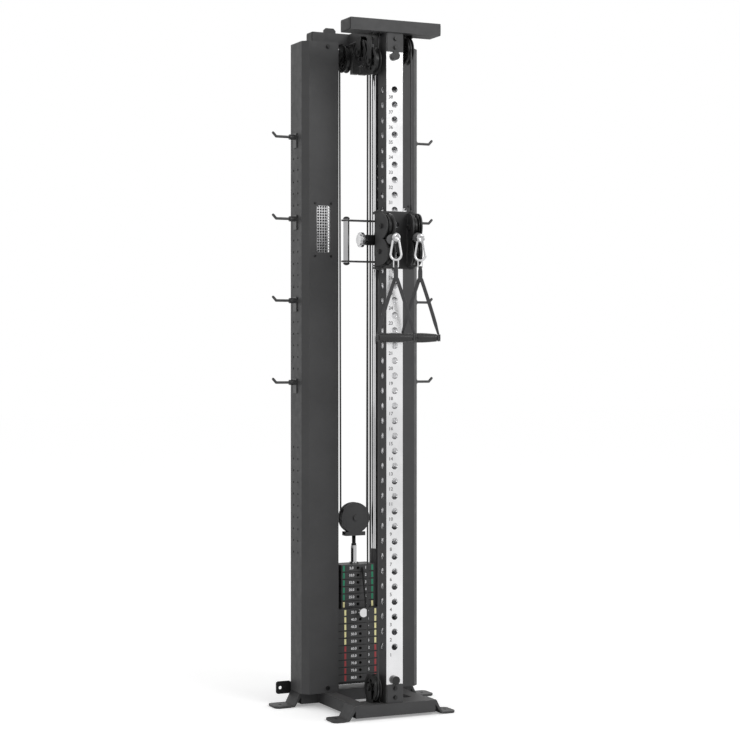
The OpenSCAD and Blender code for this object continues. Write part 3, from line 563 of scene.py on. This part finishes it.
def makeLeg(side, label, end, letter):
    # from the fork down to the grip's neck, where a flat ring goes round it
    t = np.linspace(0, 1, 40)
    spread = leg["startOut"] + (leg["endOut"] - leg["startOut"]) * t + leg["bow"] * np.sin(math.pi * t)
    z = leg["startZ"] + (leg["endZ"] - leg["startZ"]) * t
    path = strapPath(side, end * spread, end * leg["lap"] * (1 - t), z)
    width = np.interp(t, [0.8, 1], [leg["width"], leg["endWidth"]])
    outline = bandOutlines(width, leg["thick"])
    piece = sweptPiece(label + "StrapLeg" + letter, path, outline, outOfStrap, "webbing", label + "_handle")
    turn = np.linspace(0, 2 * math.pi, 48, endpoint=False)
    out = gripRing["radius"] * np.cos(turn)
    z = gripRing["z"] + gripRing["radius"] * np.sin(turn)
    path = strapPath(side, np.full(48, end * leg["endOut"]), out, z)
    outline = bandOutline(gripRing["thick"], gripRing["width"]) / 1000
    collar = sweptPiece(label + "StrapRing" + letter, path, outline, alongGrip, "webbing", label + "_handle",
                        close=True)


def makeStitches(side, label):
    # rows of thread across the neck, just over the fork
    along = np.linspace(-stitch["reach"], stitch["reach"], stitch["points"])
    lift = stitch["out"] + stitch["wave"] * (-1.0) ** np.arange(stitch["points"])
    outline = circleOutline(stitch["radius"] / 1000, 6)
    for index, z in enumerate(np.linspace(stitch["lowZ"], stitch["highZ"], stitch["rows"])):
        path = strapPath(side, along, lift, np.full(len(along), z))
        sweptPiece(f"{label}Stitch{index}", path, outline, np.array([0, 0, 1]), "thread", label + "_handle")


def makeHandGrip(side, label):
    # half a profile, then mirrored
    half = handGrip["half"]
    barrel = np.linspace(0, half - handGrip["gap"], 150)
    rounded = 1 - np.clip((half - barrel) / handGrip["cornerLength"], 0, 1)
    corner = handGrip["corner"] * (1 - np.sqrt(1 - rounded ** 2))
    swell = handGrip["swell"] * np.cos(barrel / half * math.pi / 2) ** handGrip["swellPower"]
    ribbed = handGrip["ribHeight"] * (barrel < handGrip["ribEnd"])
    ribs = ribbed * np.cos(barrel / handGrip["ribPitch"] * 2 * math.pi)
    radius = handGrip["endRadius"] + swell + ribs - corner
    profile = np.vstack([np.stack([barrel, radius], -1), handGrip["end"]])
    profile = np.vstack([profile[:0:-1] * (-1, 1), profile])
    x, radius = profile.T
    path = strapPath(side, x, 0 * x, np.full(len(x), handGrip["z"]))
    outline = circleOutline(1, 40) * radius[:, None, None] / 1000
    piece = sweptPiece(label + "HandBarrel", path, outline, outOfStrap, "hand", label + "_handle")
    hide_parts(label + "_grip")


for side, label in sides:
    makeNeck(side, label)
    makeLeg(side, label, -1, "A")
    makeLeg(side, label, 1, "B")
    makeStitches(side, label)
    makeHandGrip(side, label)
print("stage: handles made")

# coiled cord of the selector pin

lanyard = {"points": [(14, 287, 470), (14, 280, 440), (13, 269, 405), (12, 257, 370), (10, 249, 336)],
           "samples": 900, "coil": 2.4, "wire": 1.5, "turns": 30, "taper": 0.06}


def makeLanyard():
    # a helix along a smooth curve, drawn in to the curve at both ends
    points = [at(*place) for place in lanyard["points"]]
    base = smoothPath(points, lanyard["samples"])
    tangent = np.gradient(base, axis=0)
    tangent /= np.linalg.norm(tangent, axis=1, keepdims=True)
    u = np.cross(tangent, np.array([1.0, 0, 0]))
    u /= np.linalg.norm(u, axis=1, keepdims=True)
    v = np.cross(tangent, u)
    t = np.linspace(0, 1, lanyard["samples"])
    reach = lanyard["coil"] / 1000 * np.clip(np.minimum(t, 1 - t) / lanyard["taper"], 0, 1)
    angle = 2 * math.pi * lanyard["turns"] * t
    coil = base + reach[:, None] * (np.cos(angle)[:, None] * u + np.sin(angle)[:, None] * v)
    outline = circleOutline(lanyard["wire"] / 1000, 8)
    piece = sweptPiece("pinCord", coil, outline, np.array([1.0, 0, 0.2]), "cord")
    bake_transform(piece)
    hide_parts("pin_lanyard")


makeLanyard()

# numbers, coloured bars and painted shadow seams

digits = {"capShare": 0.7, "extrude": 0.12, "bolder": 0.035}
column = {"firstHole": 235, "pitch": 50, "count": 38}
columnNumber = {"x": -14, "out": 0.05, "drop": 26, "height": 11}
# rows of plates are counted from the top, and a row's number is its count of plates
stack = {"bottom": 80, "pitch": 25, "rows": 16, "liftedRows": 7, "smallRows": 6, "kilograms": 5}
# front face, middle of a bar, and half width, half depth and middle of a painted shadow seam
smallPlate = {"front": 291, "barX": 54, "shadowSeam": (63, 36, 327)}
largePlate = {"front": 272, "barX": 57, "shadowSeam": (115, 46, 318)}
plateNumber = {"loadX": -25, "countX": 29, "out": 0.1, "height": 8.5}
bar = {"width": 7, "height": 19, "dome": 0.35, "out": 0.02, "back": 0.1}
# painted shadow bands at the plate joints: drop under the joint, depth, height and squareness of the loop
shadowSeam = {"drop": 0.15, "depth": 0.7, "height": 2.1, "corner": 0.06}


def plateOf(row):
    return smallPlate if row < stack["smallRows"] else largePlate


def rowZ(row, share):
    # height in a row: share is 0 at its lower face and 1 at its upper face
    return stack["bottom"] + stack["pitch"] * (stack["rows"] - 1 - row + share)


def numberPart(words, height, place):
    # digits set upright on a face that looks to minus Y: placed vertices, and faces
    curve = bpy.data.curves.new("digits", "FONT")
    curve.body = words
    curve.size = height / digits["capShare"]
    curve.align_x = "CENTER"
    curve.align_y = "CENTER"
    curve.resolution_u = 3
    curve.extrude = digits["extrude"]
    curve.offset = digits["bolder"] * height
    holder = bpy.data.objects.new("digits", curve)
    bpy.context.scene.collection.objects.link(holder)
    bpy.context.view_layer.update()
    mesh = bpy.data.meshes.new_from_object(holder.evaluated_get(bpy.context.evaluated_depsgraph_get()))
    flat = np.zeros(len(mesh.vertices) * 3)
    mesh.vertices.foreach_get("co", flat)
    x, y, z = flat.reshape(-1, 3).T / 1000
    faces = [list(polygon.vertices) for polygon in mesh.polygons]
    bpy.data.objects.remove(holder)
    bpy.data.curves.remove(curve)
    bpy.data.meshes.remove(mesh)
    return np.stack([x, -z, y], -1) + place, faces


def columnNumbers():
    parts = []
    for i in range(column["count"]):
        z = column["firstHole"] + column["pitch"] * i - columnNumber["drop"]
        place = at(columnNumber["x"], -columnNumber["out"], z)
        parts.append(numberPart(str(i + 1), columnNumber["height"], place))
    joinParts("columnNumbers", parts, "ink", "frame")


def plateNumbers(name, rows, body):
    # load on the left, count of plates on the right
    parts = []
    for row in rows:
        y = plateOf(row)["front"] - plateNumber["out"]
        load = f"{stack['kilograms'] * (row + 1)}.0"
        for words, x in ((load, plateNumber["loadX"]), (str(row + 1), plateNumber["countX"])):
            parts.append(numberPart(words, plateNumber["height"], at(x, y, rowZ(row, 0.5))))
    joinParts(name, parts, "white", body)


def barPart(place):
    # a thin label with a slightly domed face: a grid of nine by nine, and a rim down to a flat back
    steps = np.linspace(-1, 1, 9)
    a, b = np.meshgrid(steps, steps)
    dome = bar["dome"] * (1 - a ** 6) * (1 - b ** 6)
    sheet = np.stack([a * bar["width"] / 2, -dome - bar["out"], b * bar["height"] / 2], -1).reshape(-1, 3)
    grid = np.arange(81).reshape(9, 9)
    quads = np.stack([grid[:-1, :-1], grid[:-1, 1:], grid[1:, 1:], grid[1:, :-1]], -1)
    rim = np.concatenate([grid[0, :-1], grid[:-1, -1], grid[-1, :0:-1], grid[:0:-1, 0]])
    back = sheet[rim] * (1, 0, 1) + (0, bar["back"], 0)
    low = 81 + np.arange(len(rim))
    walls = np.stack([np.roll(rim, -1), rim, low, np.roll(low, -1)], -1)
    faces = quads.reshape(-1, 4).tolist() + walls.tolist() + [low[::-1].tolist()]
    return place + np.vstack([sheet, back]) / 1000, faces


def colorBars(name, rows, color, body):
    # a bar at both ends of each row
    parts = []
    for row in rows:
        for end in (-1, 1):
            plate = plateOf(row)
            parts.append(barPart(at(end * plate["barX"], plate["front"], rowZ(row, 0.5))))
    joinParts(name, parts, color, body)


def plateShadowSeams(name, rows, body):
    # a thin rounded near-black band round the joint under each row: painted shadow in the gap between plates
    turn = np.linspace(0, 2 * math.pi, 96, endpoint=False)
    corner = shadowSeam["corner"]
    loop = np.stack([signedPower(np.cos(turn), corner), signedPower(np.sin(turn), corner), 0 * turn], -1)
    outline = bandOutline(shadowSeam["depth"], shadowSeam["height"], 12) / 1000
    parts = []
    for row in rows:
        halfWidth, halfDepth, y = plateOf(row)["shadowSeam"]
        path = at(0, y, rowZ(row, 0) - shadowSeam["drop"]) + loop * (halfWidth, halfDepth, 0) / 1000
        points = sweep(path, outline, np.array([0, 0, 1.0]), True).reshape(-1, 3)
        parts.append((points, gridFaces(96, 12, True)))
    joinParts(name, parts, "shadowSeam", body, smooth=True)


columnNumbers()
plateNumbers("lowerPlateNumbers", range(stack["liftedRows"], stack["rows"]), "frame")
plateNumbers("liftedPlateNumbers", range(stack["liftedRows"]), "lifted_stack")
colorBars("greenBars", range(0, 5), "green", "lifted_stack")
colorBars("yellowBarsLifted", range(5, 7), "yellow", "lifted_stack")
colorBars("yellowBars", range(7, 11), "yellow", "frame")
colorBars("redBars", range(11, 16), "red", "frame")
print("stage: numbers and bars made")
# near-black bands at the plate joints: painted shadow in the gaps between plates
plateShadowSeams("liftedShadowSeams", range(0, 6), "lifted_stack")
plateShadowSeams("lowerShadowSeams", range(7, 15), "frame")
print("stage: plate seams made")

# caps and fittings

# open tube ends: distance from the middle, place in y and z, and width
tubeEnds = {"topCap": (164.9, 28, 2293, 79.4), "rearCap": (166.9, 327, 2293, 49.4),
            "baseCap": (145.9, 28, 30, 79.4), "baseRearCap": (207.9, 342, 30, 79.4)}
# rows of a cap: share of its size, and distance out of the tube
tubeCapShape = {"height": 39.4, "corner": 0.25,
                "rows": [(1, -3), (1, 0.4), (0.985, 1.2), (0.96, 1.6), (0.8, 1.9), (0.4, 2), (0.02, 2)]}
# ends of the carriage's grip: a low rim under a quarter ellipse
gripEnd = {"x": -162, "y": 30, "top": 65, "low": -75, "radius": 11.2, "rim": 2.5, "rise": 8}
# turned fittings: rows of distance along the axis and radius
swivelProfile = [(-9, 4), (-9, 10), (-8.2, 11.8), (-5, 13.4), (0, 14.6), (4, 15), (7.5, 14), (9.4, 11.8),
                 (10, 9), (10, 6.4), (8.6, 5.4), (8.2, 0.2)]
boltProfile = [(0, 7.6), (2.2, 7.6), (3.1, 7.2), (3.6, 6.2), (3.7, 4.2), (2.2, 3.9), (2, 0.1)]
rodEndProfile = [(0, 8.6), (5, 9), (6, 8.4), (6.6, 6.6), (33, 6.6), (33.2, 5.6)]
couplingTop = 543


def tubeCap(name, side, x, y, z, width):
    # a rounded, slightly domed plate in an open tube end
    turn = np.linspace(0, 2 * math.pi, 48, endpoint=False)
    corner = tubeCapShape["corner"]
    share, out = np.array(tubeCapShape["rows"]).T[:, :, None]
    acrossY = share * signedPower(np.cos(turn), corner) * width / 2
    acrossZ = share * signedPower(np.sin(turn), corner) * tubeCapShape["height"] / 2
    points = np.stack([side * (x + out) + 0 * acrossY, y + acrossY, z + acrossZ], -1) / 1000
    faces = gridFaces(len(out), 48)
    if side < 0:
        faces = [face[::-1] for face in faces]
    addPiece(name, points + (0, frontY, 0), faces, "black", "frame")


def gripCap(name, z, outward):
    # a black end of the carriage's grip, at a height from the carriage's
    angle = np.linspace(0, math.pi / 2, 13)[:-1]
    radius = gripEnd["radius"] * np.cos(angle)
    height = gripEnd["rim"] + gripEnd["rise"] * np.sin(angle)
    top = gripEnd["rim"] + gripEnd["rise"]
    profile = np.vstack([(0, 0.2), np.stack([height, radius], -1), (top, 0.1)])
    origin = at(gripEnd["x"], gripEnd["y"], head["z"] + z)
    turned(name, profile, origin, (0, 0, outward), "rubber", "carriage")


def headFittings(side, label):
    # chromed swivel over the eye, and dark bolt caps on both sides of the head
    forward, across = headAxes(side)
    eye = headPoint(side, head["eyeReach"], head["eyeZ"])
    turned(label + "Swivel", swivelProfile, eye, forward, "fitting", label + "_cable_end")
    leading = side * head["pulleyZ"]
    for index, (reach, z) in enumerate(((head["pulley"], leading), (head["idleReach"], -leading))):
        for facing, letter in ((-1, "A"), (1, "B")):
            axis = facing * across
            origin = headPoint(side, reach, z) + axis * head["boltFace"] / 1000
            turned(f"{label}Bolt{index}{letter}", boltProfile, origin, axis, "cord", label + "_head", 24)


for name, (x, y, z, width) in tubeEnds.items():
    tubeCap(name + "Left", -1, x, y, z, width)
    tubeCap(name + "Right", 1, x, y, z, width)
gripCap("gripCapTop", gripEnd["top"], 1)
gripCap("gripCapLow", gripEnd["low"], -1)
for side, label in sides:
    headFittings(side, label)
# blackened end of the lift rod over the chromed coupling
turned("rodEnd", rodEndProfile, at(0, cable["rodY"], couplingTop), (0, 0, 1), "cord", "lifted_stack")
print("stage: caps made")

# floor, light and camera


def stageMaterial(name, seen, rough):
    # looks white to the camera, and stays a plain pale floor for light
    material, tree, shader = newMaterial(name, 0.0, 0.0)
    shader.inputs["Base Color"].default_value = (*seen, 1)
    shader.inputs["Roughness"].default_value = rough
    shader.inputs["Emission Color"].default_value = (1, 1, 1, 1)
    toCamera = addNode(tree, "ShaderNodeLightPath").outputs["Is Camera Ray"]
    feed(tree, shader.inputs["Emission Strength"], addMath(tree, "MULTIPLY", toCamera, 0.3))
    return material


floorMesh = bpy.data.meshes.new("floor")
floorMesh.from_pydata([(-30, -30, 0), (30, -30, 0), (30, 30, 0), (-30, 30, 0)], [], [(0, 1, 2, 3)])
floorMesh.materials.append(stageMaterial("paleFloor", (0.93, 0.93, 0.93), 0.9))
floor = bpy.data.objects.new("floor", floorMesh)
bpy.context.scene.collection.objects.link(floor)

# a soft white sky for light, and a brighter one for the camera and for mirrors
world = bpy.data.worlds.new("studio")
bpy.context.scene.world = world
world.use_nodes = True
worldTree = world.node_tree
light = worldTree.nodes["Background"]
light.inputs["Color"].default_value = (1, 1, 1, 1)
light.inputs["Strength"].default_value = 0.75
backdrop = addNode(worldTree, "ShaderNodeBackground")
backdrop.inputs["Color"].default_value = (1, 1, 1, 1)
backdrop.inputs["Strength"].default_value = 1.0
rays = addNode(worldTree, "ShaderNodeLightPath").outputs
sky = addNode(worldTree, "ShaderNodeMixShader")
direct = addMath(worldTree, "MAXIMUM", rays["Is Camera Ray"], rays["Is Glossy Ray"])
for socket, value in zip(sky.inputs, (direct, light.outputs[0], backdrop.outputs[0])):
    feed(worldTree, socket, value)
feed(worldTree, worldTree.nodes["World Output"].inputs["Surface"], sky.outputs[0])


def areaLamp(name, place, aim, size, power):
    lamp = bpy.data.lights.new(name, "AREA")
    lamp.shape = "DISK"
    lamp.size = size
    lamp.energy = power
    holder = bpy.data.objects.new(name, lamp)
    bpy.context.scene.collection.objects.link(holder)
    holder.location = place
    direction = np.array(aim) - np.array(place)
    holder.rotation_euler = (math.acos(-direction[2] / np.linalg.norm(direction)), 0,
                             math.atan2(direction[1], direction[0]) - math.pi / 2)


areaLamp("keyLamp", (1.6, -5.2, 4.4), (0, 0, 1.1), 2.5, 95)
areaLamp("fillLamp", (4.2, -2.2, 2.6), (0, 0, 1.1), 2.5, 30)

# the camera: level, 25 degrees to the left of the front, at 1.2 m; focal, image and horizon in pixels
camera = {"x": -2694.4, "y": -5584.8, "z": 1200.5, "yaw": 25, "focal": 1868, "image": 740, "horizon": 356,
          "sensor": 36}
lens = bpy.data.cameras.new("camera")
lens.sensor_width = camera["sensor"]
lens.lens = camera["focal"] / camera["image"] * camera["sensor"]
lens.shift_y = (camera["horizon"] - camera["image"] / 2) / camera["image"]
lens.clip_end = 100
viewer = bpy.data.objects.new("camera", lens)
viewer.location = tuple(at(camera["x"], camera["y"], camera["z"]))
viewer.rotation_euler = (math.pi / 2, 0, -math.radians(camera["yaw"]))
bpy.context.scene.collection.objects.link(viewer)
bpy.context.scene.camera = viewer
bpy.context.scene.view_settings.view_transform = "Standard"

print("stage: scene ready")
